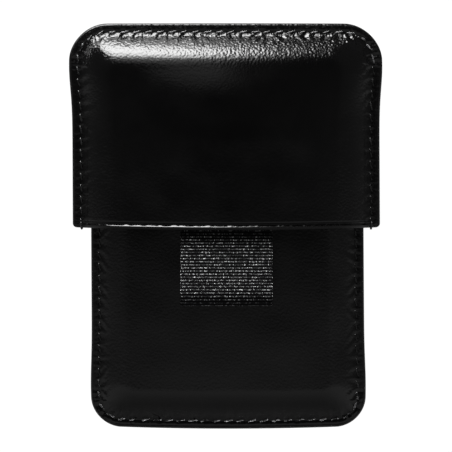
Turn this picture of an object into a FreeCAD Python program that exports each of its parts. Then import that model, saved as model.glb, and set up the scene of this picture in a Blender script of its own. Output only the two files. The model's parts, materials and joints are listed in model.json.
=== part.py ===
import FreeCAD, Part
import math
import os
import Sketcher

# A soft leather case in two halves: a stitched pouch, and a shorter stitched cap that slides over
# its open end. A ribbon loop sewn to the pouch's front hangs out from under the cap's edge.
# The case lies on its back: +Z up, +Y towards the cap's closed end, origin on the table under
# the middle of the case.

Vector = FreeCAD.Vector
Rotation = FreeCAD.Rotation
Placement = FreeCAD.Placement

# Driving dimensions in millimetres and degrees: alias, value, meaning.
DIMENSIONS = [
    ("case_length", 111.0, "whole case, cap closed"),
    ("seam_level", 8.5, "height of both seam planes above the table"),
    ("leather", 1.0, "calf leather thickness"),
    ("board", 0.6, "stiffening board thickness"),
    ("lining", 0.35, "lining thickness"),
    ("lining_setback", 1.2, "lining stops this short of the mouth"),
    ("board_setback", 4.0, "board stops this short of the mouth"),
    ("board_corner", 1.5, "corner radius of the boards"),
    ("cap_width", 84.6, "cap outer width, with its flanges"),
    ("cap_length", 56.7, "cap, hem to closed end"),
    ("cap_corner", 10.4, "cap outline corner radius"),
    ("cap_margin", 3.1, "cap flange width outside the formed wall"),
    ("cap_bend", 6.0, "rounding between the cap's walls and its face"),
    ("cap_front_rise", 9.8, "cap front face above the seam plane"),
    ("cap_back_rise", 8.5, "cap back face below the seam plane"),
    ("cap_stitch_inset", 2.45, "cap seam line, in from the edge"),
    ("pouch_width", 74.6, "pouch outer width, with its flanges"),
    ("pouch_length", 97.5, "pouch, mouth to closed end"),
    ("pouch_corner", 8.5, "pouch outline corner radius"),
    ("pouch_margin", 3.0, "pouch flange width outside the formed wall"),
    ("pouch_bend", 4.5, "rounding between the pouch's walls and its faces"),
    ("pouch_rise", 6.0, "each pouch face from the seam plane"),
    ("pouch_stitch_inset", 2.3, "pouch seam line, in from the edge"),
    ("stitch_pitch", 3.25, "seam stitch spacing"),
    ("stitch_gap", 0.75, "leather shown between two stitches"),
    ("thread", 0.5, "seam thread diameter"),
    ("stitch_slant", 12.0, "stitch turned from the seam line, degrees"),
    ("ribbon_width", 25.0, "grosgrain ribbon width"),
    ("ribbon_ply", 0.5, "one layer of ribbon"),
    ("loop_depth", 1.7, "ribbon loop, outside both layers"),
    ("loop_fold_share", 0.48, "corner radius of the loop's fold, as a share of the width there"),
    ("loop_length", 20.4, "ribbon loop, hinge line to fold"),
    ("loop_rise", 15.0, "ribbon loop stands off the pouch, degrees"),
    ("loop_start", 0.5, "loop starts this far past its hinge line"),
    ("loop_lift", 1.0, "hinge line above the pouch's face"),
    ("hinge_below_hem", 1.2, "hinge line past the cap's hem"),
    ("root_end", 0.2, "sewn ribbon shows this far past the hem"),
    ("root_length", 13.4, "sewn flat part of the ribbon"),
    ("root_doubling", 1.1, "two layers of ribbon pressed flat"),
    ("root_thread", 0.25, "thread diameter of the ribbon's box stitch"),
    ("root_seam_inset", 1.6, "box stitch, in from the ribbon's edges"),
    ("root_seam_rows", 6.0, "box stitch, distance between its two rows"),
    ("root_pitch", 2.2, "box stitch spacing"),
    ("root_stitch_share", 0.75, "box stitch length, as a share of its spacing"),
]

# Edges closer than this to a level count as lying on it, in millimetres.
LEVEL_TOLERANCE = 1e-4
# A cut that removes less than this, in cubic millimetres, has missed its body.
LEAST_CUT_VOLUME = 1e-3


def make_sheet(document):
    """Spreadsheet with one named cell for each driving dimension."""
    sheet = document.addObject("Spreadsheet::Sheet", "Sizes")
    for row, (alias, value, meaning) in enumerate(DIMENSIONS, start=1):
        sheet.set(f"A{row}", meaning)
        sheet.set(f"B{row}", str(value))
        sheet.setAlias(f"B{row}", alias)
    document.recompute()
    return sheet


document = FreeCAD.newDocument("telescoping_case")
sheet = make_sheet(document)


def sized(formula):
    """Value of a formula written with the sheet's aliases."""
    return float(sheet.evalExpression(formula))


def cell(alias):
    """Formula that reads one driving dimension."""
    return f"Sizes.{alias}"


def origin_plane(body, role):
    """Origin plane of a body, by its role."""
    for feature in body.Origin.OriginFeatures:
        if feature.Role == role:
            return feature
    raise RuntimeError(f"{body.Label} has no {role}")


def new_body(label):
    """Empty body whose label is its node name."""
    body = document.addObject("PartDesign::Body", label)
    body.Label = label
    return body


def arch_sketch(body, name, width, length, corner):
    """Outline with a straight mouth on the X axis and two rounded corners at its closed end."""
    half = sized(width) / 2
    top = sized(length)
    turn = sized(corner)
    sketch = body.newObject("Sketcher::SketchObject", name)
    sketch.AttachmentSupport = [(origin_plane(body, "XY_Plane"), "")]
    sketch.MapMode = "FlatFace"
    up = Vector(0, 0, 1)
    left, left_arc, closed_end, right_arc, right, mouth = sketch.addGeometry([
        Part.LineSegment(Vector(-half, 0), Vector(-half, top - turn)),
        Part.ArcOfCircle(Part.Circle(Vector(turn - half, top - turn), up, turn), math.pi / 2, math.pi),
        Part.LineSegment(Vector(turn - half, top), Vector(half - turn, top)),
        Part.ArcOfCircle(Part.Circle(Vector(half - turn, top - turn), up, turn), 0, math.pi / 2),
        Part.LineSegment(Vector(half, top - turn), Vector(half, 0)),
        Part.LineSegment(Vector(half, 0), Vector(-half, 0)),
    ])
    sketch.addConstraint([
        Sketcher.Constraint("Tangent", left, 2, left_arc, 2),
        Sketcher.Constraint("Tangent", left_arc, 1, closed_end, 1),
        Sketcher.Constraint("Tangent", closed_end, 2, right_arc, 2),
        Sketcher.Constraint("Tangent", right_arc, 1, right, 1),
        Sketcher.Constraint("Coincident", right, 2, mouth, 1),
        Sketcher.Constraint("Coincident", mouth, 2, left, 1),
        Sketcher.Constraint("Vertical", left),
        Sketcher.Constraint("Vertical", right),
        Sketcher.Constraint("Horizontal", closed_end),
        Sketcher.Constraint("Horizontal", mouth),
        Sketcher.Constraint("Symmetric", mouth, 1, mouth, 2, -1, 1),
        Sketcher.Constraint("Equal", left_arc, right_arc),
    ])
    sizes = [
        ("width", Sketcher.Constraint("DistanceX", mouth, 2, mouth, 1, 2 * half), width),
        ("length", Sketcher.Constraint("DistanceY", mouth, 1, closed_end, 2, top), length),
        ("corner", Sketcher.Constraint("Radius", left_arc, turn), corner),
    ]
    for constraint_name, constraint, formula in sizes:
        index = sketch.addConstraint(constraint)
        sketch.renameConstraint(index, constraint_name)
        sketch.setExpression(f"Constraints.{constraint_name}", formula)
    return sketch


def pad(body, name, sketch, depth):
    """Boss raised from a sketch along its normal."""
    feature = body.newObject("PartDesign::Pad", name)
    feature.Profile = sketch
    feature.setExpression("Length", depth)
    document.recompute()
    return feature


def pocket_upwards(body, name, sketch, depth):
    """Hollow cut from a sketch along its normal, checked to have removed material."""
    before = body.Shape.Volume
    feature = body.newObject("PartDesign::Pocket", name)
    feature.Profile = sketch
    feature.Reversed = True
    feature.setExpression("Length", depth)
    document.recompute()
    if body.Shape.Volume > before - LEAST_CUT_VOLUME:
        raise RuntimeError(f"{body.Label} {name} cuts nothing")
    return feature


def rounded_level(body, name, level, radius):
    """Fillet of the flat edge loop at one height, but not along the mouth."""
    height = sized(level)
    chosen = []
    for number, edge in enumerate(body.Shape.Edges, start=1):
        box = edge.BoundBox
        flat = abs(box.ZMin - height) < LEVEL_TOLERANCE and abs(box.ZMax - height) < LEVEL_TOLERANCE
        on_mouth = box.YMax < LEVEL_TOLERANCE
        if flat and not on_mouth:
            chosen.append(f"Edge{number}")
    base = body.Tip
    feature = body.newObject("PartDesign::Fillet", name)
    feature.Base = (base, chosen)
    feature.setExpression("Radius", radius)
    document.recompute()
    return feature


def formed_panel(label, width, length, corner, inset, rise, bend, wall):
    """Wet-formed sheet: a flat flange round three sides of a domed tray, open at its mouth."""
    body = new_body(label)
    flange = arch_sketch(body, f"{label}_flange_outline", width, length, corner)
    pad(body, f"{label}_flange", flange, wall)
    dome = arch_sketch(
        body, f"{label}_dome_outline",
        f"{width} - 2 * ({inset})", f"{length} - ({inset})", f"{corner} - ({inset})",
    )
    pad(body, f"{label}_dome", dome, rise)
    hollow_inset = f"({inset} + {wall})"
    hollow = arch_sketch(
        body, f"{label}_hollow_outline",
        f"{width} - 2 * {hollow_inset}", f"{length} - {hollow_inset}", f"{corner} - {hollow_inset}",
    )
    ceiling = f"({rise} - {wall})"
    pocket_upwards(body, f"{label}_hollow", hollow, ceiling)
    rounded_level(body, f"{label}_hollow_round", ceiling, f"{bend} - {wall}")
    rounded_level(body, f"{label}_dome_round", rise, bend)
    return body


def flat_board(label, width, length, corner, thickness):
    """Stiffening board cut from flat stock."""
    body = new_body(label)
    outline = arch_sketch(body, f"{label}_outline", width, length, corner)
    pad(body, f"{label}_sheet", outline, thickness)
    return body


def lay(body, turn, y_formula, z_formula):
    """Turn a body and bind its place along Y and Z to the sheet."""
    body.Placement = Placement(Vector(0, 0, 0), turn)
    body.setExpression("Placement.Base.y", y_formula)
    body.setExpression("Placement.Base.z", z_formula)


def layered_side(half, side, turn, mouth, closed_way, up):
    """Leather, board and lining of one side of the cap or the pouch.

    closed_way is the sign of Y from the mouth to the closed end, and up is the sign of Z
    from the seam plane to the side's face.
    """
    width = cell(f"{half}_width")
    length = cell(f"{half}_length")
    corner = cell(f"{half}_corner")
    margin = cell(f"{half}_margin")
    bend = cell(f"{half}_bend")
    rise = cell(f"{half}_rise") if half == "pouch" else cell(f"{half}_{side}_rise")
    leather, board, lining = cell("leather"), cell("board"), cell("lining")
    name = f"{half}_{side}"

    outer = formed_panel(
        f"{name}_leather", width, length, corner, margin, f"({rise} - {lining})", bend, leather,
    )
    lay(outer, turn, mouth, f"{cell('seam_level')} + {up} * {lining}")

    lining_start = cell("lining_setback")
    inner = formed_panel(
        f"{name}_lining", width, f"({length} - {lining_start})", corner, f"({margin} + {leather})",
        f"({rise} - {leather} - {board})", f"({bend} - {leather})", lining,
    )
    lay(inner, turn, f"{mouth} + {closed_way} * {lining_start}", cell("seam_level"))

    board_start = cell("board_setback")
    board_inset = f"({margin} + {bend})"
    stiffener = flat_board(
        f"{name}_stiffener", f"{width} - 2 * {board_inset}",
        f"{length} - {board_start} - {board_inset}", cell("board_corner"), board,
    )
    lay(
        stiffener, turn, f"{mouth} + {closed_way} * {board_start}",
        f"{cell('seam_level')} + {up} * ({rise} - {leather} - {board})",
    )
    return [outer, stiffener, inner]


def arch_path(width, length, corner, spacing):
    """Points and headings along an arch outline, evenly spaced from one mouth end to the other."""
    half = width / 2
    side = length - corner
    quarter = math.pi * corner / 2
    across = width - 2 * corner
    total = 2 * side + 2 * quarter + across
    count = round(total / spacing)
    marks = []
    for step in range(count):
        distance = (step + 0.5) * total / count
        if distance < side:
            marks.append((-half, distance, 90.0))
            continue
        distance -= side
        if distance < quarter:
            angle = math.pi - distance / corner
            x = corner - half + corner * math.cos(angle)
            y = side + corner * math.sin(angle)
            marks.append((x, y, math.degrees(angle) - 90.0))
            continue
        distance -= quarter
        if distance < across:
            marks.append((corner - half + distance, length, 0.0))
            continue
        distance -= across
        if distance < quarter:
            angle = math.pi / 2 - distance / corner
            x = half - corner + corner * math.cos(angle)
            y = side + corner * math.sin(angle)
            marks.append((x, y, math.degrees(angle) - 90.0))
            continue
        distance -= quarter
        marks.append((half, side - distance, -90.0))
    return marks


def stitch(length, diameter, x, y, z, heading):
    """One straight stitch of thread, lying flat with its middle at the point given."""
    along = Vector(math.cos(math.radians(heading)), math.sin(math.radians(heading)), 0)
    start = Vector(x, y, z) - along * (length / 2)
    return Part.makeCylinder(diameter / 2, length, start, along)


def thread_group(label, stitches):
    """Group of separate stitches in one node."""
    group = document.addObject("Part::Feature", label)
    group.Label = label
    group.Shape = Part.makeCompound(stitches)
    return group


def seam_thread(label, half, mouth, closed_way, up):
    """Stitches of one thread on one side of a seam that runs round three sides."""
    inset = sized(cell(f"{half}_stitch_inset"))
    marks = arch_path(
        sized(cell(f"{half}_width")) - 2 * inset, sized(cell(f"{half}_length")) - inset,
        sized(cell(f"{half}_corner")) - inset, sized(cell("stitch_pitch")),
    )
    diameter = sized(cell("thread"))
    length = sized(cell("stitch_pitch")) - sized(cell("stitch_gap"))
    slant = sized(cell("stitch_slant"))
    flange = sized(cell("leather")) + sized(cell("lining"))
    level = sized(cell("seam_level")) + up * (flange + diameter / 2)
    start = sized(mouth)
    stitches = []
    for x, y, heading in marks:
        place_y = start + closed_way * y
        stitches.append(stitch(length, diameter, x, place_y, level, closed_way * heading + up * slant))
    return thread_group(label, stitches)


def ribbon_root(hem):
    """Two layers of ribbon pressed flat and sewn to the pouch's front, under the cap."""
    root = document.addObject("Part::Box", "ribbon_root")
    root.Label = "ribbon_root"
    root.setExpression("Length", cell("ribbon_width"))
    root.setExpression("Width", cell("root_length"))
    root.setExpression("Height", cell("root_doubling"))
    root.setExpression("Placement.Base.x", f"-{cell('ribbon_width')} / 2")
    root.setExpression("Placement.Base.y", f"{hem} - {cell('root_end')}")
    root.setExpression("Placement.Base.z", f"{cell('seam_level')} + {cell('pouch_rise')}")
    return root


def ribbon_root_stitches(hem):
    """Box of stitches through both layers of ribbon into the pouch's front."""
    inset = sized(cell("root_seam_inset"))
    diameter = sized(cell("root_thread"))
    pitch = sized(cell("root_pitch"))
    length = pitch * sized(cell("root_stitch_share"))
    across = sized(cell("ribbon_width")) - 2 * inset
    rows = sized(cell("root_seam_rows"))
    top = sized(f"{hem} - {cell('root_end')} + {cell('root_length')}") - inset
    level = sized(f"{cell('seam_level')} + {cell('pouch_rise')} + {cell('root_doubling')}") + diameter / 2
    stitches = []
    row_count = round(across / pitch)
    for step in range(row_count):
        x = -across / 2 + (step + 0.5) * across / row_count
        for y in (top, top - rows):
            stitches.append(stitch(length, diameter, x, y, level, 0.0))
    side_count = round(rows / pitch)
    for step in range(side_count):
        y = top - (step + 0.5) * rows / side_count
        for x in (-across / 2, across / 2):
            stitches.append(stitch(length, diameter, x, y, level, 90.0))
    return thread_group("ribbon_root_stitches", stitches)


def ribbon_loop(hem):
    """Free doubled end of the ribbon, folded round at its tip, standing off the pouch."""
    body = new_body("ribbon_loop")
    length = f"({cell('loop_length')} - {cell('loop_start')})"
    share = cell("loop_fold_share")
    depth = cell("loop_depth")
    outline = arch_sketch(body, "ribbon_loop_outline", depth, length, f"{depth} * {share}")
    pad(body, "ribbon_loop_layers", outline, cell("ribbon_width"))
    gap = f"({depth} - 2 * {cell('ribbon_ply')})"
    space = arch_sketch(
        body, "ribbon_loop_space", gap, f"{length} - {cell('ribbon_ply')}", f"{gap} * {share}",
    )
    pocket_upwards(body, "ribbon_loop_hollow", space, cell("ribbon_width"))
    rise = math.radians(sized(cell("loop_rise")))
    start = sized(cell("loop_start"))
    along = Vector(0, -math.cos(rise), math.sin(rise))
    across = Vector(1, 0, 0)
    hinge_y = sized(f"{hem} - {cell('hinge_below_hem')}")
    hinge_z = sized(f"{cell('seam_level')} + {cell('pouch_rise')} + {cell('loop_lift')}")
    corner = Vector(-sized(cell("ribbon_width")) / 2, hinge_y, hinge_z) + along * start
    body.Placement = Placement(corner, Rotation(along.cross(across), along, across, "XYZ"))
    return body


def check_document(pieces):
    """Stop if any feature failed or any piece has no sound shape."""
    for item in document.Objects:
        if "Invalid" in item.State or "Error" in item.State:
            raise RuntimeError(f"{item.Label} failed: {item.State}")
    for piece in pieces:
        if piece.Shape.isNull() or not piece.Shape.isValid():
            raise RuntimeError(f"{piece.Label} has no valid shape")


def build_case():
    """Every separate piece of the case, in place."""
    front = Rotation()
    back = Rotation(Vector(0, 1, 0), 180)
    front_reversed = Rotation(Vector(0, 0, 1), 180)
    back_reversed = Rotation(Vector(1, 0, 0), 180)
    hem = f"({cell('case_length')} / 2 - {cell('cap_length')})"
    pouch_mouth = f"({cell('pouch_length')} - {cell('case_length')} / 2)"

    pieces = []
    pieces += layered_side("cap", "front", front, hem, 1, 1)
    pieces += layered_side("cap", "back", back, hem, 1, -1)
    pieces += layered_side("pouch", "front", front_reversed, pouch_mouth, -1, 1)
    pieces += layered_side("pouch", "back", back_reversed, pouch_mouth, -1, -1)
    pieces.append(seam_thread("cap_needle_thread", "cap", hem, 1, 1))
    pieces.append(seam_thread("cap_bobbin_thread", "cap", hem, 1, -1))
    pieces.append(seam_thread("pouch_needle_thread", "pouch", pouch_mouth, -1, 1))
    pieces.append(seam_thread("pouch_bobbin_thread", "pouch", pouch_mouth, -1, -1))
    pieces.append(ribbon_root(hem))
    pieces.append(ribbon_root_stitches(hem))
    pieces.append(ribbon_loop(hem))
    document.recompute()
    return pieces


case_pieces = build_case()
check_document(case_pieces)
os.makedirs("parts", exist_ok=True)
for case_piece in case_pieces:
    case_piece.Shape.exportStep(f"parts/{case_piece.Label}.step")
    print(case_piece.Label, len(case_piece.Shape.Solids), round(case_piece.Shape.Volume, 1))
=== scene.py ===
import json
import math

import bpy
import numpy as np
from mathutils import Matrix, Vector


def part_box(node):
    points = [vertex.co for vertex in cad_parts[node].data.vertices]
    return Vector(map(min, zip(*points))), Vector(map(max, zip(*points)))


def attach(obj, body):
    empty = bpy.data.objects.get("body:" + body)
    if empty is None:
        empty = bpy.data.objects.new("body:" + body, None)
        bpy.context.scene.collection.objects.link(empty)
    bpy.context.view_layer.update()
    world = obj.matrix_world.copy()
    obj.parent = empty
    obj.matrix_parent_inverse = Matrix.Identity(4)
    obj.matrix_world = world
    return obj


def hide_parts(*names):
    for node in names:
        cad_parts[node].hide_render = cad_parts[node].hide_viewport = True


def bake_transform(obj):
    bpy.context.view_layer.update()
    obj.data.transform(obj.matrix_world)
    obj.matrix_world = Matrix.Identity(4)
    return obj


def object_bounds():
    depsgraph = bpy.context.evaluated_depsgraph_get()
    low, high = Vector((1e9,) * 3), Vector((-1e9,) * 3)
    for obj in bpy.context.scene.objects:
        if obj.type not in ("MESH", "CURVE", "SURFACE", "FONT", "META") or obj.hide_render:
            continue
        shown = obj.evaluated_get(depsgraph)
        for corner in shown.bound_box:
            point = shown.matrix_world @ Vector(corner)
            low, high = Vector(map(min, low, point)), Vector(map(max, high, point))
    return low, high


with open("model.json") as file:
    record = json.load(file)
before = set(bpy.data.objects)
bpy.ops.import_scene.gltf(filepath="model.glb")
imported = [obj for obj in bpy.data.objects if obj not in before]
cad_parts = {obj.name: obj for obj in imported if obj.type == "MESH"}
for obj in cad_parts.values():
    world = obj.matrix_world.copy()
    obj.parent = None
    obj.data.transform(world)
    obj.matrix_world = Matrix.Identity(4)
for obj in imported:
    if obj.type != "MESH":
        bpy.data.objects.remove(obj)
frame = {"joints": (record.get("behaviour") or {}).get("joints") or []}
CAD_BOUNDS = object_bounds()

# A telescoping leather case: a stitched cap over a stitched pouch, with a ribbon pull loop.
# Shapes are worked out in millimetres in the frame's own axes and written to meshes in metres.
MM = 0.001
RNG_SEED = 20261

# ---------------------------------------------------------------- sizes read from the frame


def box_mm(node):
    """Lowest and highest corner of a CAD node, in millimetres."""
    low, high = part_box(node)
    return np.array(low) / MM, np.array(high) / MM


def joint_place(name):
    """Place of a joint's axis in the frame, in millimetres."""
    for joint in frame["joints"]:
        if joint["name"] == name:
            return np.array(joint["pos_m"]) / MM
    raise ValueError(name)


CAP_LOW, CAP_HIGH = box_mm("cap_front_leather")
CAP_BACK_LOW, CAP_BACK_HIGH = box_mm("cap_back_leather")
POUCH_LOW, POUCH_HIGH = box_mm("pouch_front_leather")
POUCH_BACK_LOW = box_mm("pouch_back_leather")[0]
ROOT_LOW, ROOT_HIGH = box_mm("ribbon_root")
LOOP_LOW = box_mm("ribbon_loop")[0]
HINGE = joint_place("ribbon_loop_flex")
SEAM = (CAP_LOW[2] + CAP_BACK_HIGH[2]) / 2
HEM_Y = CAP_LOW[1]

LEATHER = 1.0
BOARD = 0.6
LINING = 0.35
FLANGE = LEATHER + LINING
LAYER_GAP = 0.02
STITCH_PITCH = 3.25
THREAD = 0.50
# Shape of a panel: softness of its wall's foot, step of its section, and where its dome starts to fall.
FOOT_SOFTNESS = 0.58
SECTION_STEP = 0.02
DOME_PEAK = 0.42
# Pressed line along a mouth: where it starts and is deepest, how deep, and how soon it ends.
CREASE_START = 0.85
CREASE_END = 1.38
CREASE_RETURN = 0.16
CREASE_DEPTH = 0.34
# Rolled edge of a mouth, the bead beside it and the faint second line: (height, place, width).
ROLL = 0.9
BEAD = (0.08, 0.72, 0.30)
FAINT_LINE = (-0.03, 1.95, 0.16)
# Rolled outer rim of a panel, and the line pressed beside it.
RIM = 0.6
RIM_LINE = (-0.05, 0.85, 0.14)
# What the stitches do to the leather: the channel, each needle hole along and across the seam, the
# puckers, the raised line outside the seam (height, place, width) and how far up the wall they show.
CHANNEL_DEPTH = 0.09
CHANNEL_WIDTH = 0.40
HOLE_DEPTH = 0.20
HOLE_LENGTH = 0.30
HOLE_WIDTH = 0.34
HOLE_PLACES = (0.12, 0.88)
PUCKER_HEIGHT = 0.022
PUFF = (0.04, -1.2, 0.55)
SCALLOP_REACH = 1.6
# Strength on the two sides and at the closed end, for what is worked harder at the end.
PULL_SHARE = (0.22, 1.0)
SCALLOP_HEIGHT = (0.03, 0.17)
WRINKLE_SHARE = (0.18, 1.7)
# Least and most of what differs from stitch to stitch, and from crease to crease beside the seam.
STITCH_STRENGTH = (0.35, 1.5)
STITCH_LEAN = (-0.45, 0.45)
WRINKLE_WIDTH = (0.22, 0.5)
WRINKLE_REACH = (0.7, 2.6)
WRINKLE_DEPTH = (0.03, 0.13)
WRINKLE_SPACING = (1.0, 3.0)
# Grain: what every face keeps, and what the bend and the wall's foot add on the sides and at the end.
FACE_GRAIN = 0.10
BEND_GRAIN = (0.14, 0.90)
FOOT_GRAIN = (0.0, 1.0)
SMOOTHER_PANELS = 0.35
# Waves of a panel pulled over its board, and room left between the cap's back and the floor.
DENT_COUNT = 26
DENT_LENGTH = (9.0, 26.0)
FRONT_UNEVENNESS = 0.00014
BACK_UNEVENNESS = 0.00010
BACK_CLEARANCE = 0.1
# Board and lining, set back from the edges and the mouth.
BOARD_SETBACK = 4.0
LINING_MARGIN = 1.15
LINING_SETBACK = 1.2


class Half:
    """Outline and section of the cap or the pouch, in a panel's own axes.

    A panel's own Y runs from its mouth, at 0, to its closed end, and its own Z rises from the
    seam plane to its face. The seam lies inset in from the outline, the wall rises foot in from
    it, and reaches the face after run.
    """

    def __init__(self, width, length, corner, inset, foot, run, mouth_corner, flare,
                 end_bow, mouth_bow, lean):
        self.half = width / 2
        self.length = length
        self.corner = corner
        self.inset = inset
        self.foot = foot
        self.run = run
        self.mouth_corner = mouth_corner
        self.flare = flare
        self.end_bow = end_bow
        self.mouth_bow = mouth_bow
        self.lean = lean
        turn = corner - inset
        self.side = length - corner
        self.across = self.half - corner
        self.seam_total = 2 * (self.side + self.across) + math.pi * turn
        self.count = round(self.seam_total / STITCH_PITCH)
        self.pitch = self.seam_total / self.count

    def half_width(self, y):
        """Half the outline's width at a height above the mouth."""
        over = np.clip(y - self.side, 0, self.corner)
        arc = self.corner - np.sqrt(np.maximum(self.corner ** 2 - over ** 2, 0))
        under = np.clip(self.mouth_corner - y, 0, self.mouth_corner)
        heel = self.mouth_corner - np.sqrt(np.maximum(self.mouth_corner ** 2 - under ** 2, 0))
        return self.half - arc - heel

    def depth(self, x, y, corner=None):
        """Distance in from the outline, leaving the mouth out of account."""
        corner = corner or self.corner
        past_side = np.abs(x) - (self.half - corner)
        past_end = y - (self.length - corner)
        in_corner = (past_side > 0) & (past_end > 0)
        round_depth = corner - np.hypot(past_side, past_end)
        return np.where(in_corner, round_depth, corner - np.maximum(past_side, past_end))

    def along_seam(self, x, y):
        """Distance along the seam line, from the mouth's left end."""
        turn = self.corner - self.inset
        past_side = np.abs(x) - self.across
        past_end = y - self.side
        angle = np.arctan2(np.maximum(past_side, 0), np.maximum(past_end, 1e-6))
        in_corner = (past_side > 0) & (past_end > 0)
        on_side = past_side > past_end
        round_corner = self.across + turn * math.pi / 2
        from_middle = np.where(
            in_corner, self.across + turn * angle,
            np.where(on_side, round_corner + self.side - y, np.minimum(np.abs(x), self.across)),
        )
        return self.seam_total / 2 + np.sign(x) * from_middle

    def warp(self, x, y):
        """Gentle bows, flares and a lean that hand-made leather has."""
        part = np.clip(y / self.length, 0, 1)
        side = (x / self.half) ** 2
        flare = self.flare * np.exp(-(((y - self.length + 11.5) / 9.0) ** 2))
        new_x = x * (1 + flare / self.half) + self.lean * part
        new_y = y - self.end_bow * side * part ** 3 + self.mouth_bow * side * (1 - part) ** 6
        return new_x, new_y


def rounded(distance, radius):
    """Quarter circle that rises from 0 at an edge to 1 at this distance from it."""
    part = np.clip(distance / radius, 0, 1)
    return np.sqrt(np.maximum(1 - (1 - part) ** 2, 0))


def smooth(value, low, high):
    """Smooth step from 0 at low to 1 at high."""
    part = np.clip((value - low) / (high - low), 0, 1)
    return part * part * (3 - 2 * part)


CAP = Half(
    width=CAP_HIGH[0] - CAP_LOW[0] - 0.5, length=CAP_HIGH[1] - CAP_LOW[1], corner=10.0, inset=2.45,
    foot=3.5, run=7.75, mouth_corner=1.2, flare=0.85, end_bow=0.1, mouth_bow=0.85,
    lean=-0.25,
)
POUCH = Half(
    width=POUCH_HIGH[0] - POUCH_LOW[0], length=POUCH_HIGH[1] - POUCH_LOW[1], corner=8.1, inset=2.3,
    foot=2.9, run=7.4, mouth_corner=0.8, flare=0.35, end_bow=0.85, mouth_bow=0.0,
    lean=0.6,
)


class Side:
    """One side of a half: its face height, its crown, and how its own axes lie in the frame.

    The crown is the face's dome, and a lower bend_power makes a squarer bend.
    """

    def __init__(self, half, rise, mouth_y, end_sign, up, crown, bend_power, seed):
        self.half = half
        self.rise = rise
        self.mouth_y = mouth_y
        self.end_sign = end_sign
        self.up = up
        self.rng = np.random.RandomState(RNG_SEED + seed)
        self.crown = crown
        self.bend_power = bend_power
        self.unevenness = FRONT_UNEVENNESS if up > 0 else BACK_UNEVENNESS
        self.depth_marks = np.arange(0, half.half + half.length, SECTION_STEP)
        self.heights = self.section()

    def to_frame(self, x, y, z):
        """Panel points in the frame's axes, in millimetres."""
        new_x, new_y = self.half.warp(x, y)
        return np.stack([new_x, self.mouth_y + self.end_sign * new_y, SEAM + self.up * z], axis=-1)

    def section_depth(self, x, y):
        """Distance in from the outline, with wider corners further in."""
        half = self.half
        near = half.depth(x, y)
        wide = half.depth(x, y, half.corner + 4.0)
        return near + (wide - near) * smooth(near, 3.0, 12.0)

    def profile(self, depth):
        """Height of the formed leather's outside above the seam plane, by distance from the edge."""
        return np.interp(depth, self.depth_marks, self.heights)

    def section(self):
        """Heights of the section at evenly spaced depths: flange, soft foot, wall and bend."""
        part = np.clip((self.depth_marks - self.half.foot) / self.half.run, 0, 1)
        bend = (1 - (1 - part) ** 2) ** self.bend_power
        heights = FLANGE + (self.rise - FLANGE - self.crown) * bend
        reach = int(3 * FOOT_SOFTNESS / SECTION_STEP)
        spread = np.arange(-reach, reach + 1) * SECTION_STEP / FOOT_SOFTNESS
        weights = np.exp(-spread ** 2 / 2)
        padded = np.pad(heights, reach, mode="edge")
        return np.convolve(padded, weights / weights.sum(), mode="valid")

    def dome(self, x, y):
        """Low dome of the face: full height from the mouth to its peak, then down to the closed end."""
        half = self.half
        across = np.clip(1 - (x / (half.half - half.foot)) ** 2, 0, 1)
        peak = half.length * DOME_PEAK
        past_peak = np.maximum(y - peak, 0)
        along = np.clip(1 - (past_peak / (half.length - half.foot - peak)) ** 2, 0, 1)
        return self.crown * across * along

    def surface(self, x, y):
        """Height of the smooth outside at a point."""
        return self.profile(self.section_depth(x, y)) + self.dome(x, y)

    def under(self, x, y, distance):
        """Height of the sheet that lies this far under the outside, measured square to it."""
        depth = self.section_depth(x, y)
        lowest = np.full(np.shape(depth), 1e6)
        for part in np.linspace(-1, 0.4, 15):
            height = self.profile(depth + part * distance) - distance * math.sqrt(1 - part ** 2)
            lowest = np.minimum(lowest, height)
        return lowest + self.dome(x, y)


SIDES = {
    "cap_front": Side(
        CAP, CAP_HIGH[2] - SEAM, HEM_Y, end_sign=1, up=1, crown=3.2, bend_power=1.0, seed=1,
    ),
    "cap_back": Side(
        CAP, SEAM - CAP_BACK_LOW[2] - BACK_CLEARANCE, HEM_Y, end_sign=1, up=-1, crown=0.3, bend_power=0.6,
        seed=2,
    ),
    "pouch_front": Side(
        POUCH, POUCH_HIGH[2] - SEAM, POUCH_HIGH[1], end_sign=-1, up=1, crown=0.5, bend_power=1.0, seed=3,
    ),
    "pouch_back": Side(
        POUCH, SEAM - POUCH_BACK_LOW[2], POUCH_HIGH[1], end_sign=-1, up=-1, crown=0.3, bend_power=0.7, seed=4,
    ),
}

# ---------------------------------------------------------------- mesh helpers


def mesh_object(name, points, faces):
    """New smooth-shaded object from points in millimetres."""
    mesh = bpy.data.meshes.new(name)
    mesh.from_pydata((np.asarray(points) * MM).tolist(), [], [tuple(int(i) for i in face) for face in faces])
    mesh.validate()
    mesh.update()
    mesh.polygons.foreach_set("use_smooth", [True] * len(mesh.polygons))
    piece = bpy.data.objects.new(name, mesh)
    bpy.context.scene.collection.objects.link(piece)
    return piece


def store(piece, name, values):
    """Keep one number for each point of a mesh, for its material to read."""
    attribute = piece.data.attributes.new(name, "FLOAT", "POINT")
    attribute.data.foreach_set("value", np.asarray(values, dtype=np.float32))


def graded(length, bands):
    """Distances from an edge, closest together at the edge, with a chosen step in each band."""
    marks = [0.0, 0.03, 0.08, 0.15, 0.24, 0.35, 0.46, 0.56, 0.66, 0.78, 0.90]
    for until, step in bands:
        while marks[-1] < until:
            marks.append(marks[-1] + step)
    return [mark for mark in marks if mark < length]


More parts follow.
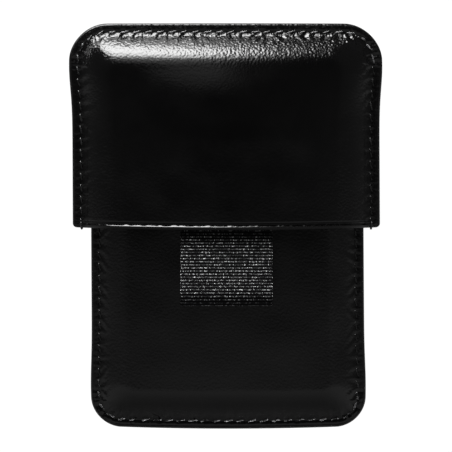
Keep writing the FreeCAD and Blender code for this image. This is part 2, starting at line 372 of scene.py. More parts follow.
def shell_grid(half, side_bands, mouth_bands, coarse):
    """Rows and columns of points that fill a half's outline, with rows straight across it."""
    marks = graded(half.side, mouth_bands)
    side_marks = np.array(graded(half.corner + 5.0, side_bands))
    turn_depths = side_marks[side_marks < half.corner]
    turns = half.length - turn_depths[::-1]
    rows = np.array([mark for mark in marks if mark < half.side - 0.15] + list(turns))
    reach = side_marks[-1]
    edges = half.half_width(rows)
    squeeze = edges / half.half
    inner_count = 2 * int((half.half - reach) / coarse)
    centre = np.linspace(-1, 1, inner_count + 1)[1:-1]
    left = -edges[:, None] + side_marks[None, :] * squeeze[:, None]
    middle = centre[None, :] * (edges - reach * squeeze)[:, None]
    x = np.concatenate([left, middle, -left[:, ::-1]], axis=1)
    y = np.repeat(rows[:, None], x.shape[1], axis=1)
    return x, y


def sheet_faces(number, flip):
    """Four-cornered faces between the rows and columns of a grid of point numbers."""
    a, b, c, d = number[:-1, :-1], number[:-1, 1:], number[1:, 1:], number[1:, :-1]
    order = (d, c, b, a) if flip else (a, b, c, d)
    return np.stack(order, axis=-1).reshape(-1, 4)


def closed_shell(name, side, x, y, outside, inside, worked=None):
    """Closed sheet between two height maps that meet all round their outline."""
    rows, columns = x.shape
    outer = side.to_frame(x, y, outside).reshape(-1, 3)
    inner = side.to_frame(x, y, inside).reshape(-1, 3)
    number = np.arange(rows * columns).reshape(rows, columns)
    rim = np.zeros((rows, columns), dtype=bool)
    rim[0, :] = rim[-1, :] = rim[:, 0] = rim[:, -1] = True
    inner_number = number.copy()
    free = np.where(~rim.reshape(-1))[0]
    inner_number.reshape(-1)[free] = rows * columns + np.arange(len(free))
    points = np.concatenate([outer, inner[free]])
    faces = np.concatenate([sheet_faces(number, False), sheet_faces(inner_number, True)])
    if side.up * side.end_sign < 0:
        faces = faces[:, ::-1]
    piece = mesh_object(name, points, faces)
    depth = side.half.depth(x, y).reshape(-1)
    store(piece, "edge_mm", np.concatenate([depth, depth[free]]))
    if worked is not None:
        share = worked.reshape(-1)
        store(piece, "worked", np.concatenate([share, share[free]]))
    return piece


# ---------------------------------------------------------------- leather


def stitch_phase(side, x, y):
    """Place along the stitch that lies beside each point, from 0 to 1, and the stitch's number."""
    half = side.half
    place = half.along_seam(x, y) / half.pitch
    number = np.clip(np.floor(place).astype(int), 0, half.count - 1)
    return place - np.floor(place), number


def hump(distance, width):
    """Smooth hump, 1 high, that fades to either side over about this width."""
    return np.exp(-((distance / width) ** 2))


def line_relief(value, line):
    """Relief of a raised or pressed line, given as its height, place and width."""
    height, place, width = line
    return height * hump(value - place, width)


def end_share(half, y, strengths):
    """Strength that goes from one value on a half's two sides to another at its closed end."""
    on_sides, at_end = strengths
    return on_sides + (at_end - on_sides) * smooth(y, half.side - 5.0, half.side + 3.0)


def stitch_pull(side, x, y, depth, strength, lean):
    """Leather drawn down by the stitches, and puckered between them."""
    half = side.half
    phase, number = stitch_phase(side, x, y)
    pull = strength[number] * end_share(half, y, PULL_SHARE)
    off = depth - half.inset
    between_stitches = 0.6 + 0.4 * np.cos(2 * math.pi * (phase - 0.5))
    channel = -CHANNEL_DEPTH * hump(off, CHANNEL_WIDTH) * between_stitches
    first_hole, second_hole = HOLE_PLACES
    near_hole = np.minimum(np.abs(phase - first_hole), np.abs(phase - second_hole)) * half.pitch
    hole = -HOLE_DEPTH * pull * hump(near_hole, HOLE_LENGTH) * hump(off, HOLE_WIDTH)
    beside = 2 * math.pi * (phase + lean[number] * off)
    outer_pucker = PUCKER_HEIGHT * pull * np.cos(beside) * hump(off + 1.0, 0.7)
    return channel + hole + outer_pucker + line_relief(off, PUFF) + line_relief(depth, RIM_LINE)


def foot_scallops(side, x, y, depth, strength, lean):
    """How far the wall stands out or in at its foot, between and beside the stitches."""
    half = side.half
    phase, number = stitch_phase(side, x, y)
    up = depth - half.foot
    beside = 2 * math.pi * (phase + lean[number] * up)
    height = end_share(half, y, SCALLOP_HEIGHT)
    return height * strength[number] * np.cos(beside) * hump(up, SCALLOP_REACH)


def foot_wrinkles(side, x, y, depth):
    """Short creases that run up the wall from the seam."""
    half = side.half
    seam = half.along_seam(x, y)
    height = np.zeros_like(x)
    up = np.clip(depth - half.foot, -0.6, None)
    at = 1.0
    while at < half.seam_total:
        width = side.rng.uniform(*WRINKLE_WIDTH)
        reach = side.rng.uniform(*WRINKLE_REACH)
        deep = side.rng.uniform(*WRINKLE_DEPTH)
        lean = side.rng.uniform(-0.35, 0.35)
        height -= deep * hump(seam - at - lean * up, width) * hump(up - 0.2, reach)
        at += side.rng.uniform(*WRINKLE_SPACING)
    return height * end_share(half, y, WRINKLE_SHARE)


def soft_dents(side, x, y, depth):
    """Slight unevenness of leather pulled over a board."""
    height = np.zeros_like(x)
    for _ in range(DENT_COUNT):
        wave = side.rng.uniform(*DENT_LENGTH)
        turn = side.rng.uniform(0, math.pi)
        shift = side.rng.uniform(0, 2 * math.pi)
        along = x * math.cos(turn) + y * math.sin(turn)
        height += side.unevenness * wave * np.sin(2 * math.pi * along / wave + shift)
    return height * smooth(depth, side.half.foot, side.half.foot + 5.0)


def wander(rng, x, waves):
    """Uneven line between about -1 and 1, made of waves of the lengths given."""
    total = np.zeros_like(x)
    for wave in waves:
        total += np.sin(2 * math.pi * x / wave * rng.uniform(0.9, 1.1) + rng.uniform(0, 2 * math.pi))
    return total / math.sqrt(len(waves))


def mouth_hem(side, x, y, top, low, depth):
    """Rolled edge and pressed crease along a mouth: new outside and inside heights."""
    lifted = smooth(depth, side.half.foot - 0.6, side.half.foot + 1.0)
    middle = lifted * (top + low) / 2
    curve = rounded(y, ROLL)
    relief = line_relief(y, BEAD)
    bottom = CREASE_END + 0.04 * wander(side.rng, x, [11.0, 5.3, 2.9])
    deep = CREASE_DEPTH * (1 + 0.22 * wander(side.rng, x, [7.1, 3.3, 1.9, 1.1]))
    falling = np.clip((y - CREASE_START) / (bottom - CREASE_START), 0, 1)
    rising = np.clip((y - bottom) / CREASE_RETURN, 0, 1)
    relief -= deep * (falling - rising)
    relief += line_relief(y, FAINT_LINE)
    pressed = smooth(depth, side.half.inset + 0.4, side.half.inset + 2.0)
    outside = middle + (top + relief * pressed - middle) * curve
    inside = middle + (low - middle) * curve
    return outside, inside


def leather_panel(name):
    """Formed leather panel with rolled rim, stitch channel, puckers and creased mouth."""
    side = SIDES[name]
    half = side.half
    foot = half.foot
    side_bands = [(foot - 0.4, 0.30), (foot + 0.5, 0.09), (foot + 1.6, 0.16), (10.0, 0.30), (99.0, 0.5)]
    mouth_bands = [(2.5, 0.08), (99.0, 0.36)]
    x, y = shell_grid(half, side_bands, mouth_bands, coarse=0.42 if side.up > 0 else 0.7)
    depth = half.depth(x, y)
    strength = side.rng.uniform(*STITCH_STRENGTH, half.count)
    lean = side.rng.uniform(*STITCH_LEAN, half.count)
    section = side.section_depth(x, y) + foot_scallops(side, x, y, depth, strength, lean)
    base = side.profile(section) + side.dome(x, y)
    detail = stitch_pull(side, x, y, depth, strength, lean)
    detail += foot_wrinkles(side, x, y, depth) + soft_dents(side, x, y, depth)
    top = (base + detail) * rounded(depth, RIM)
    low = np.maximum(side.under(x, y, LEATHER), LINING + LAYER_GAP)
    low = low * smooth(depth, 0.35, 1.0)
    low = np.minimum(low, top)
    outside, inside = mouth_hem(side, x, y, top, low, depth)
    outside[:, 0] = outside[:, -1] = 0.0
    outside[-1, :] = 0.0
    bent = 1 - smooth(side.section_depth(x, y), 9.0, 14.0)
    near_foot = hump(depth - foot - 1.3, 1.6)
    worked = end_share(half, y, BEND_GRAIN) * bent + end_share(half, y, FOOT_GRAIN) * near_foot
    if name != "cap_front":
        worked = SMOOTHER_PANELS * worked
    return closed_shell(f"{name}_leather_formed", side, x, y, outside, inside, FACE_GRAIN + worked)


def inner_layer(name, kind):
    """Board or lining under the leather, as a thin closed sheet."""
    side = SIDES[name]
    half = side.half
    board_edge = half.foot + half.run * 0.8
    start = LEATHER + LAYER_GAP
    if kind == "stiffener":
        margin, setback, thick = board_edge, BOARD_SETBACK, BOARD - LAYER_GAP
    else:
        margin, setback, thick = LINING_MARGIN, LINING_SETBACK, LINING - LAYER_GAP
    corner = max(half.corner - margin, 1.5)
    outline = Half(
        width=2 * (half.half - margin), length=half.length - margin - setback, corner=corner, inset=0.5,
        foot=0, run=1, mouth_corner=0.3, flare=0, end_bow=0, mouth_bow=0, lean=0,
    )
    x, y = shell_grid(outline, [(3.5, 0.3), (99.0, 0.8)], [(99.0, 0.9)], coarse=1.6)
    y_panel = y + setback
    depth = half.depth(x, y_panel)
    if kind == "lining":
        start = start + (BOARD + LAYER_GAP) * smooth(depth, board_edge - 2.0, board_edge)
    top = np.maximum(side.under(x, y_panel, start), LINING)
    low = np.maximum(side.under(x, y_panel, start + thick), 0.01)
    edge = np.clip(outline.depth(x, y) / 0.3, 0, 1) * np.clip(y / 0.3, 0, 1)
    round_edge = np.sqrt(np.maximum(1 - (1 - edge) ** 2, 0))
    middle = (top + low) / 2
    top = middle + (top - middle) * round_edge
    low = middle + (low - middle) * round_edge
    return closed_shell(f"{name}_{kind}_sheet", side, x, y_panel, top, low)


# ---------------------------------------------------------------- thread

RING = 10
STITCH_RINGS = 9
# Share of painted glints in the thread's colour: on the seam's sides and at its closed end, and on the other
# stitches.
THREAD_PAINTED_GLINT = (0.05, 1.0)
SOME_PAINTED_GLINT = 0.3


def tube(path, radius, twist=0.0, ply=0.0):
    """Points and faces of a closed round tube along a path; ply ridges turn round it."""
    path = np.asarray(path, dtype=float)
    count = len(path)
    tangent = np.gradient(path, axis=0)
    tangent /= np.linalg.norm(tangent, axis=1)[:, None]
    reference = np.array([0.0, 0.0, 1.0])
    if np.abs(tangent @ reference).max() > 0.95:
        reference = np.array([1.0, 0.0, 0.0])
    across = np.cross(tangent, reference)
    across /= np.linalg.norm(across, axis=1)[:, None]
    rise = np.cross(across, tangent)
    run = np.concatenate([[0], np.cumsum(np.linalg.norm(np.diff(path, axis=0), axis=1))])
    angle = np.linspace(0, 2 * math.pi, RING, endpoint=False)
    taper = np.ones(count)
    taper[0] = taper[-1] = 0.45
    points = []
    for step in range(count):
        size = radius * taper[step] * (1 + ply * np.cos(2 * (angle - twist * run[step])))
        ring = path[step] + size[:, None] * (
            np.cos(angle)[:, None] * across[step] + np.sin(angle)[:, None] * rise[step]
        )
        points.append(ring)
    points = np.concatenate(points)
    faces = []
    for step in range(count - 1):
        for spoke in range(RING):
            nxt = (spoke + 1) % RING
            a, b = step * RING + spoke, step * RING + nxt
            faces.append((a, b, b + RING, a + RING))
    faces.append(tuple(range(RING - 1, -1, -1)))
    last = (count - 1) * RING
    faces.append(tuple(range(last, last + RING)))
    return points, faces


def joined(name, tubes, painted_glint_share):
    """One object made of separate tubes, each with a share of painted glints in its colour."""
    points, faces, painted_glint_values, offset = [], [], [], 0
    for (tube_points, tube_faces), share in zip(tubes, painted_glint_share):
        points.append(tube_points)
        painted_glint_values.append(np.full(len(tube_points), share))
        faces += [tuple(index + offset for index in face) for face in tube_faces]
        offset += len(tube_points)
    piece = mesh_object(name, np.concatenate(points), faces)
    store(piece, "painted_glint_share", np.concatenate(painted_glint_values))
    return piece


def seam_point(half, at):
    """Point on the seam line and the direction along it."""
    turn = half.corner - half.inset
    from_middle = at - half.seam_total / 2
    sign = 1.0 if from_middle > 0 else -1.0
    far = abs(from_middle)
    end_y = half.length - half.inset
    if far < half.across:
        return sign * far, end_y, np.array([1.0, 0.0])
    far -= half.across
    if far < turn * math.pi / 2:
        angle = far / turn
        x = half.across + turn * math.sin(angle)
        y = end_y - turn + turn * math.cos(angle)
        return sign * x, y, np.array([math.cos(angle), -sign * math.sin(angle)])
    far -= turn * math.pi / 2
    return sign * (half.half - half.inset), half.side - far, np.array([0.0, -sign])


def seam_stitches(name, side, wraps):
    """Every stitch of one thread on one side, each dipping into its two needle holes."""
    half = side.half
    tubes, painted_glint_share = [], []
    for number in range(half.count):
        x, y, along = seam_point(half, (number + 0.5) * half.pitch)
        slant = math.radians(side.up * side.end_sign * 13.0 + side.rng.uniform(-5, 5))
        along = np.array([
            along[0] * math.cos(slant) - along[1] * math.sin(slant),
            along[0] * math.sin(slant) + along[1] * math.cos(slant),
        ])
        reach = half.pitch * side.rng.uniform(0.37, 0.42)
        lift = side.rng.uniform(-0.03, 0.03)
        path = []
        for part in np.linspace(-1, 1, STITCH_RINGS):
            height = FLANGE - 0.12 + lift + 0.10 * (1 - part ** 2) - 0.42 * part ** 8
            path.append((x + along[0] * reach * part, y + along[1] * reach * part, height))
        path = np.array(path)
        path = side.to_frame(path[:, 0], path[:, 1], path[:, 2])
        tubes.append(tube(path, THREAD / 2, twist=2.6, ply=0.20))
        # Share of painted glints in this stitch's colour, more towards the seam's closed end.
        painted_glint_share.append(end_share(half, y, THREAD_PAINTED_GLINT))
    if wraps:
        for sign in (-1, 1):
            tubes.append(hem_wrap(side, sign))
            painted_glint_share.append(SOME_PAINTED_GLINT)
    return joined(name, tubes, painted_glint_share)


def hem_wrap(side, sign):
    """Last stitch of the seam, carried over the hem's edge from front to back."""
    half = side.half
    x = sign * (half.half - half.inset)
    path = []
    for turn in np.linspace(-1, 1, 17):
        angle = turn * math.pi / 2
        y = 1.5 - 1.82 * math.cos(angle)
        z = (FLANGE + 0.10) * math.sin(angle)
        path.append((x + 0.18 * sign * turn, y, z))
    path.insert(0, (path[0][0], 1.9, -FLANGE + 0.25))
    path.append((path[-1][0], 1.9, FLANGE - 0.25))
    path = np.array(path)
    return tube(side.to_frame(path[:, 0], path[:, 1], path[:, 2]), THREAD / 2, twist=2.6, ply=0.14)


# ---------------------------------------------------------------- ribbon

RIB_PITCH = 0.875
PLY = 0.42
RIB_HEIGHT = 0.11
WARP_PITCH = 0.34
# The loop lifts off the pouch, lifts a little more along its length, and curls down at its tip.
RIBBON_LIFT = 13.0
RIBBON_ARCH = 4.5
RIBBON_CURL = 62.0
RIBBON_CURL_REACH = 3.8
# Middle line of its tip, past the CAD loop's lowest Y, and its bend's start and length at the hinge.
RIBBON_TIP = 1.25
RIBBON_BEND_START = 1.6
RIBBON_BEND_LENGTH = 3.2
# Each layer's distance from the middle line, where the ribbon is sewn flat and where it hangs free.
PRESSED_SPREAD = 0.27
FREE_SPREAD = 0.53
RIBBON_COLUMNS = 121
RIBBON_SCALLOP = 0.20
# Painted shade on the ribbon's glints: the share left at the fold, where the tip curls away from the light,
# and the depth, place and width of the painted shadow of the hem beside it.
FOLD_PAINTED_SHADE = 0.12
HEM_PAINTED_SHADE_DEPTH = 0.75
HEM_PAINTED_SHADE_PLACE = 0.7
HEM_PAINTED_SHADE_WIDTH = 1.2


def ribbon_line():
    """Middle line of the doubled ribbon, as points (y, z) from its sewn end to its tip."""
    root_z = ROOT_LOW[2] + 0.56
    tip_y = LOOP_LOW[1] + RIBBON_TIP
    points = [(ROOT_HIGH[1] - 0.2, root_z)]
    y = ROOT_HIGH[1] - 0.2
    z = root_z
    step = 0.05
    while y > tip_y:
        past = HINGE[1] + RIBBON_BEND_START - y
        slope = 0.0
        if past > 0:
            bend = min(past / RIBBON_BEND_LENGTH, 1.0)
            slope = math.radians(RIBBON_LIFT) * bend * bend * (3 - 2 * bend)
            slope += math.radians(RIBBON_ARCH) * min(past / 20.0, 1.0)
            slope -= math.radians(RIBBON_CURL) * max(1 - (y - tip_y) / RIBBON_CURL_REACH, 0.0) ** 1.5
        y -= step * math.cos(slope)
        z += step * math.sin(slope)
        points.append((y, z))
    return np.array(points)


def ribbon_strip():
    """Centre line of the whole ribbon: out along its back layer, round the fold, and back."""
    line = ribbon_line()
    direction = np.gradient(line, axis=0)
    direction /= np.linalg.norm(direction, axis=1)[:, None]
    normal = np.stack([-direction[:, 1], direction[:, 0]], axis=1)
    normal *= np.sign(normal[:, 1])[:, None]
    free = np.clip((HINGE[1] + 1.0 - line[:, 0]) / 9.0, 0, 1)
    spread = PRESSED_SPREAD + (FREE_SPREAD - PRESSED_SPREAD) * smooth(free, 0, 1)
    back = line - normal * spread[:, None]
    front = line + normal * spread[:, None]
    tip = line[-1]
    fold = []
    radius = spread[-1]
    for part in np.linspace(0, math.pi, 28)[1:-1]:
        fold.append(tip - normal[-1] * radius * math.cos(part) + direction[-1] * radius * math.sin(part))
    return np.concatenate([back, np.array(fold), front[::-1]])


def resampled(points, spacing):
    """The same line with evenly spaced points."""
    run = np.concatenate([[0], np.cumsum(np.linalg.norm(np.diff(points, axis=0), axis=1))])
    count = int(run[-1] / spacing)
    at = np.linspace(0, run[-1], count + 1)
    return np.stack([np.interp(at, run, points[:, axis]) for axis in range(2)], axis=1), at


def ribbon_piece():
    """Grosgrain ribbon: a ribbed strip, doubled and folded, with corded side edges."""
    rng = np.random.RandomState(RNG_SEED + 9)
    line, at = resampled(ribbon_strip(), RIB_PITCH / 8)
    direction = np.gradient(line, axis=0)
    direction /= np.linalg.norm(direction, axis=1)[:, None]
    outward = np.stack([direction[:, 1], -direction[:, 0]], axis=1)
    half = (ROOT_HIGH[0] - ROOT_LOW[0]) / 2
    middle_x = (ROOT_HIGH[0] + ROOT_LOW[0]) / 2
    columns = RIBBON_COLUMNS
    across = np.linspace(-1, 1, columns)
    rib = at / RIB_PITCH
    number = np.floor(rib).astype(int)
    height = np.abs(np.sin(math.pi * rib)) ** 0.8
    jitter = rng.uniform(-0.12, 0.12, number.max() + 2)[number]
    wobble = rng.uniform(-1, 1, (number.max() + 2, columns))[number]
    warp_cord = np.cos(math.pi * np.arange(columns))[None, :] * np.where(number % 2 == 0, 1, -1)[:, None]
    side_fall = 1 - np.clip((np.abs(across) - 0.965) / 0.035, 0, 1) ** 2
    width = half - 0.16 + RIBBON_SCALLOP * height + 0.35 * jitter
    x = middle_x + across[None, :] * width[:, None]
    thick = (PLY / 2 - 0.05 + RIB_HEIGHT * height[:, None] * (1 + 0.18 * wobble)) * side_fall[None, :]
    thick = thick + 0.012 * warp_cord * height[:, None] * side_fall[None, :]
    thick = np.maximum(thick, 0.05)
    rows = len(line)
    shape = (rows, columns)
    middle_y, middle_z = line[:, 0, None], line[:, 1, None]
    off_y, off_z = outward[:, 0, None] * thick, outward[:, 1, None] * thick
    outer = np.stack([x, middle_y + off_y, middle_z + off_z], axis=-1)
    inner = np.stack([x, middle_y - off_y, middle_z - off_z], axis=-1)
    number_out = np.arange(rows * columns).reshape(shape)
    number_in = number_out + rows * columns
    faces = [sheet_faces(number_out, False), sheet_faces(number_in, True)]
    borders = [
        (number_out[:, 0], number_in[:, 0], True), (number_out[:, -1], number_in[:, -1], False),
        (number_out[0, :], number_in[0, :], False), (number_out[-1, :], number_in[-1, :], True),
    ]
    for first, second, flip in borders:
        band = np.stack([first[:-1], first[1:], second[1:], second[:-1]], axis=-1)
        faces.append(band[:, ::-1] if flip else band)
    faces = np.concatenate(faces)
    points = np.concatenate([outer.reshape(-1, 3), inner.reshape(-1, 3)])
    piece = mesh_object("ribbon_strip", points, faces)
    crest = np.repeat(height[:, None], columns, axis=1).reshape(-1)
    store(piece, "rib_crest", np.concatenate([crest, crest]))
    warp_place = np.repeat((across * half)[None, :], rows, axis=0).reshape(-1)
    store(piece, "warp_mm", np.concatenate([warp_place, warp_place]))
    store(piece, "run_mm", np.concatenate([np.repeat(at, columns)] * 2))
    tip = line[np.argmin(line[:, 0])]
    # Painted shade: the ribbon's glints fade towards the fold and in a band under the hem's edge, where its
    # shadow falls.
    painted_shade_factor = FOLD_PAINTED_SHADE + (1 - FOLD_PAINTED_SHADE) * smooth(np.hypot(*(line - tip).T), 0.8, 3.4)
    painted_shade_factor *= 1 - HEM_PAINTED_SHADE_DEPTH * hump(HEM_Y - HEM_PAINTED_SHADE_PLACE - line[:, 0], HEM_PAINTED_SHADE_WIDTH)
    store(piece, "painted_shade_factor", np.concatenate([np.repeat(painted_shade_factor, columns)] * 2))
    return piece


def root_stitches():
    """Box of stitches through the flat end of the ribbon."""
    low, high = box_mm("ribbon_root_stitches")
    level = ROOT_HIGH[2] + 0.10
    tubes = []
    pitch = 2.2
    across = high[0] - low[0] - 1.6
    count = round(across / pitch)
    for step in range(count):
        x = low[0] + 0.8 + (step + 0.5) * across / count
        for y in (low[1] + 0.15, high[1] - 0.15):
            tubes.append(flat_stitch(x, y, level, (1, 0), 0.78 * pitch))
    tall = high[1] - low[1] - 0.3
    count = round(tall / pitch)
    for step in range(count):
        y = low[1] + 0.15 + (step + 0.5) * tall / count
        for x in (low[0] + 0.8, high[0] - 0.8):
            tubes.append(flat_stitch(x, y, level, (0, 1), 0.72 * pitch))
    return joined("ribbon_box_stitch", tubes, [SOME_PAINTED_GLINT] * len(tubes))


def flat_stitch(x, y, level, along, length):
    """One stitch lying on a level surface and dipping at both ends."""
    path = []
    for part in np.linspace(-1, 1, STITCH_RINGS):
        reach = part * length / 2
        height = level + 0.05 * (1 - part ** 2) - 0.25 * part ** 8
        path.append((x + along[0] * reach, y + along[1] * reach, height))
    return tube(path, 0.17, twist=4.0, ply=0.14)


# ---------------------------------------------------------------- materials


class Nodes:
    """Short way to build a node material."""

    def __init__(self, name):
        self.material = bpy.data.materials.new(name)
        self.material.use_nodes = True
        self.tree = self.material.node_tree
        self.shader = self.tree.nodes["Principled BSDF"]
        self.place = self.add("ShaderNodeTexCoord").outputs["Object"]

    def add(self, kind, **settings):
        """New node with its attributes set."""
        node = self.tree.nodes.new(kind)
        for key, value in settings.items():
            setattr(node, key, value)
        return node

    def link(self, output, socket):
        """Join an output to a socket."""
        self.tree.links.new(output, socket)

    def set(self, **values):
        """Constant values on the shader's own sockets."""
        for key, value in values.items():
            self.shader.inputs[key.replace("_", " ")].default_value = value

    def attribute(self, name):
        """Number stored on the mesh."""
        return self.add("ShaderNodeAttribute", attribute_name=name).outputs["Fac"]

    def noise(self, scale_mm, detail=3.0, roughness=0.55):
        """Noise whose cells are about this size."""
        node = self.add("ShaderNodeTexNoise")
        node.inputs["Scale"].default_value = 1 / (scale_mm * MM)
        node.inputs["Detail"].default_value = detail
        node.inputs["Roughness"].default_value = roughness
        self.link(self.place, node.inputs["Vector"])
        return node.outputs["Fac"]

    def cells(self, scale_mm):
        """Pebble pattern whose cells are about this size."""
        node = self.add("ShaderNodeTexVoronoi")
        node.inputs["Scale"].default_value = 1 / (scale_mm * MM)
        self.link(self.place, node.inputs["Vector"])
        return node.outputs["Distance"]

    def span(self, value, low, high, to_low, to_high, smooth_step=False):
        """Number mapped from one range to another."""
        node = self.add("ShaderNodeMapRange", interpolation_type="SMOOTHSTEP" if smooth_step else "LINEAR")
        self.link(value, node.inputs["Value"])
        for key, number in (("From Min", low), ("From Max", high), ("To Min", to_low), ("To Max", to_high)):
            node.inputs[key].default_value = number
        return node.outputs["Result"]

    def math(self, operation, first, second):
        """Sum, product or other combination of two numbers."""
        node = self.add("ShaderNodeMath", operation=operation)
        for socket, value in zip(node.inputs, (first, second)):
            if isinstance(value, (int, float)):
                socket.default_value = value
            else:
                self.link(value, socket)
        return node.outputs["Value"]

    def colour(self, factor, dark, light):
        """Colour between two by a number."""
        node = self.add("ShaderNodeMix", data_type="RGBA")
        self.link(factor, node.inputs[0])
        node.inputs[6].default_value = (*dark, 1)
        node.inputs[7].default_value = (*light, 1)
        return node.outputs[2]

    def bump(self, height, distance_mm, strength=1.0, normal=None):
        """Surface relief of this height."""
        node = self.add("ShaderNodeBump")
        node.inputs["Distance"].default_value = distance_mm * MM
        node.inputs["Strength"].default_value = strength
        self.link(height, node.inputs["Height"])
        if normal is not None:
            self.link(normal, node.inputs["Normal"])
        return node.outputs["Normal"]


def leather_material():
    """Glazed black calf: fine pebbled grain, faint clouding, duller painted rim."""
    n = Nodes("glazed_black_calf")
    edge = n.attribute("edge_mm")
    rim = n.span(edge, 0.35, 0.95, 1.0, 0.0, True)
    worked = n.attribute("worked")
    grain = n.cells(0.80)
    fine = n.noise(0.62, detail=0.5)
    cloud = n.noise(9.0, detail=4.0)
    pores = n.noise(2.2, detail=2.0)
    relief = n.math("ADD", n.math("MULTIPLY", grain, 0.3), n.math("MULTIPLY", fine, 1.0))
    smooth_normal = n.bump(n.math("MULTIPLY", pores, worked), 0.05)
    normal = n.bump(n.math("MULTIPLY", relief, worked), 0.085, normal=smooth_normal)
    n.link(normal, n.shader.inputs["Normal"])
    n.link(n.colour(cloud, (0.0010, 0.0010, 0.0011), (0.0020, 0.0019, 0.0019)), n.shader.inputs["Base Color"])
    body = n.span(cloud, 0.3, 0.7, 0.11, 0.16)
    n.link(n.math("ADD", body, n.math("MULTIPLY", rim, 0.16)), n.shader.inputs["Roughness"])
    n.set(IOR=1.5, Specular_IOR_Level=0.5)
    return n.material


def lining_material():
    """Black lining cloth with a fine plain weave."""
    n = Nodes("black_lining_cloth")
    weave = []
    for direction in ("X", "Y"):
        wave = n.add("ShaderNodeTexWave", wave_type="BANDS", bands_direction=direction)
        wave.inputs["Scale"].default_value = 1 / (0.45 * MM) / 6.2832 * 2
        wave.inputs["Distortion"].default_value = 0.6
        n.link(n.place, wave.inputs["Vector"])
        weave.append(wave.outputs["Fac"])
    cloth = n.math("MULTIPLY", weave[0], weave[1])
    n.link(n.bump(cloth, 0.05), n.shader.inputs["Normal"])
    n.link(n.colour(n.math("ADD", cloth, n.noise(0.8)), (0.006, 0.006, 0.007), (0.022, 0.022, 0.024)),
           n.shader.inputs["Base Color"])
    n.set(Roughness=0.85, Sheen_Weight=0.25, Sheen_Roughness=0.5)
    return n.material


def board_material():
    """Grey-brown fibre board."""
    n = Nodes("grey_fibre_board")
    fibres = n.noise(0.6, detail=6.0, roughness=0.7)
    n.link(n.bump(fibres, 0.03), n.shader.inputs["Normal"])
    n.link(n.colour(fibres, (0.20, 0.17, 0.13), (0.38, 0.34, 0.28)), n.shader.inputs["Base Color"])
    n.set(Roughness=0.9)
    return n.material


def thread_material():
    """Waxed black thread, with painted glints: light specks in its colour."""
    n = Nodes("waxed_black_thread")
    fibres = n.noise(0.12, detail=2.0)
    wax = n.noise(1.3, detail=1.0)
    # Painted highlights: light specks in the base colour stand in for glints on the waxed fibres, as much as
    # each stitch's stored share.
    specks = n.span(n.math("MULTIPLY", fibres, wax), 0.20, 0.36, 0.0, 1.0, True)
    painted_thread_glints = n.math("MULTIPLY", specks, n.attribute("painted_glint_share"))
    n.link(n.bump(fibres, 0.03), n.shader.inputs["Normal"])
    n.link(n.colour(painted_thread_glints, (0.002, 0.002, 0.002), (0.22, 0.22, 0.225)), n.shader.inputs["Base Color"])
    n.link(n.span(wax, 0.35, 0.65, 0.16, 0.45), n.shader.inputs["Roughness"])
    n.set(Specular_IOR_Level=0.5)
    return n.material


def ribbon_material():
    """Black grosgrain with dark furrows; its colour carries painted glints of single warp threads on the rib
    crests, and painted shade at the fold and beside the hem.
    """
    n = Nodes("black_grosgrain")
    crest = n.attribute("rib_crest")
    place = n.add("ShaderNodeCombineXYZ")
    n.link(n.math("DIVIDE", n.attribute("warp_mm"), WARP_PITCH), place.inputs[0])
    n.link(n.math("SUBTRACT", n.math("DIVIDE", n.attribute("run_mm"), RIB_PITCH), 0.25), place.inputs[1])
    warp = n.add("ShaderNodeTexVoronoi", voronoi_dimensions="2D")
    warp.inputs["Scale"].default_value = 1.0
    warp.inputs["Randomness"].default_value = 0.75
    n.link(place.outputs[0], warp.inputs["Vector"])
    shade = n.add("ShaderNodeSeparateColor")
    n.link(warp.outputs["Color"], shade.inputs[0])
    spot = n.span(warp.outputs["Distance"], 0.08, 0.42, 1.0, 0.08, True)
    chance = n.math("POWER", shade.outputs[0], 2.5)
    glint = n.math("MULTIPLY", spot, n.span(chance, 0.0, 0.85, 0.07, 1.0))
    # Painted shade: the crest glints are dimmed towards the fold and beside the hem by a stored factor.
    crests = n.math("MULTIPLY", n.attribute("painted_shade_factor"), n.span(crest, 0.76, 0.97, 0.0, 1.0, True))
    painted_glints = n.math("MULTIPLY", glint, crests)
    # Painted highlights: near-white base colour on the crest spots stands in for glints of the warp threads.
    n.link(n.colour(painted_glints, (0.003, 0.003, 0.0032), (0.96, 0.96, 0.97)), n.shader.inputs["Base Color"])
    n.link(n.bump(spot, 0.05), n.shader.inputs["Normal"])
    n.link(n.span(painted_glints, 0, 1, 0.95, 0.6), n.shader.inputs["Roughness"])
    n.set(Specular_IOR_Level=0.06)
    return n.material


MATERIALS = {
    "calf_leather": leather_material(),
    "lining_cloth": lining_material(),
    "stiffening_board": board_material(),
    "seam_thread": thread_material(),
    "ribbon": ribbon_material(),
}


def finish_piece(piece, body, slot, *nodes):
    """Give a piece its material and its body, and hide the CAD nodes that it stands for."""
    piece.data.materials.append(MATERIALS[slot])
    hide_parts(*nodes)
    if body:
        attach(piece, body)


def make_case():
    """All pieces of the case."""
    for name, side in SIDES.items():
        body = name.split("_")[0]
        finish_piece(leather_panel(name), body, "calf_leather", f"{name}_leather")
        finish_piece(inner_layer(name, "stiffener"), body, "stiffening_board", f"{name}_stiffener")
        finish_piece(inner_layer(name, "lining"), body, "lining_cloth", f"{name}_lining")
        thread = "needle" if side.up > 0 else "bobbin"
        stitches = seam_stitches(f"{body}_{thread}_stitches", side, wraps=name == "cap_front")
        finish_piece(stitches, body, "seam_thread", f"{body}_{thread}_thread")
    finish_piece(root_stitches(), "pouch", "seam_thread", "ribbon_root_stitches")
    ribbon = ribbon_piece()
    finish_piece(ribbon, None, "ribbon", "ribbon_root", "ribbon_loop")
    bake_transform(ribbon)


# ---------------------------------------------------------------- floor, light and camera


